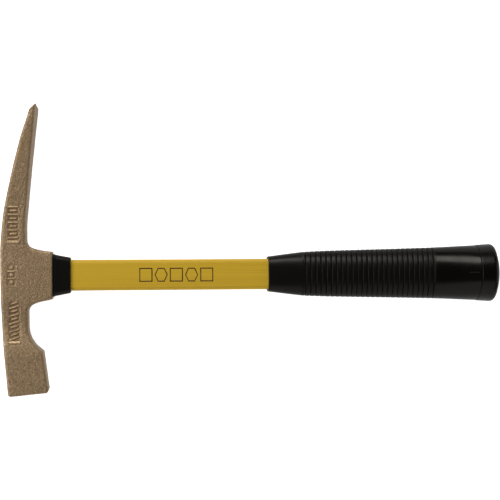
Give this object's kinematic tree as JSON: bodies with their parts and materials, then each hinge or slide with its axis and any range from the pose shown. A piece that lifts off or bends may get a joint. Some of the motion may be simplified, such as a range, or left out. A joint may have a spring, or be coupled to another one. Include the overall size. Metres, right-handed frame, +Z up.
{
  "type": "brick hammer",
  "caption": "Bricklayer's hammer with a square striking poll, a long curved chisel blade, a straight bar handle and a ribbed oval grip.",
  "frame": {"origin": "under the middle of the hammer's box, on the surface that the hammer lies on", "axes": "+X along the handle from the head to the butt, +Y from the handle to the chisel's edge, +Z up across the chisel's width"},
  "size_m": [0.358, 0.2055, 0.041],
  "materials": {
    "bronze": "sand-cast, dull, with brighter worn edges",
    "resin": "cast, semi-gloss",
    "collar": "satin, moulded",
    "fibreglass": "satin with lengthwise fibre streaks",
    "adhesive": "cured film",
    "grip": "moulded, semi-gloss"
  },
  "bodies": {
    "root": {"head": "bronze", "eye_epoxy": "resin", "head_collar": "collar", "handle_core": "fibreglass", "grip_bond": "adhesive", "grip_sleeve": "grip", "butt_cap": "grip"}
  },
  "joints": []
}
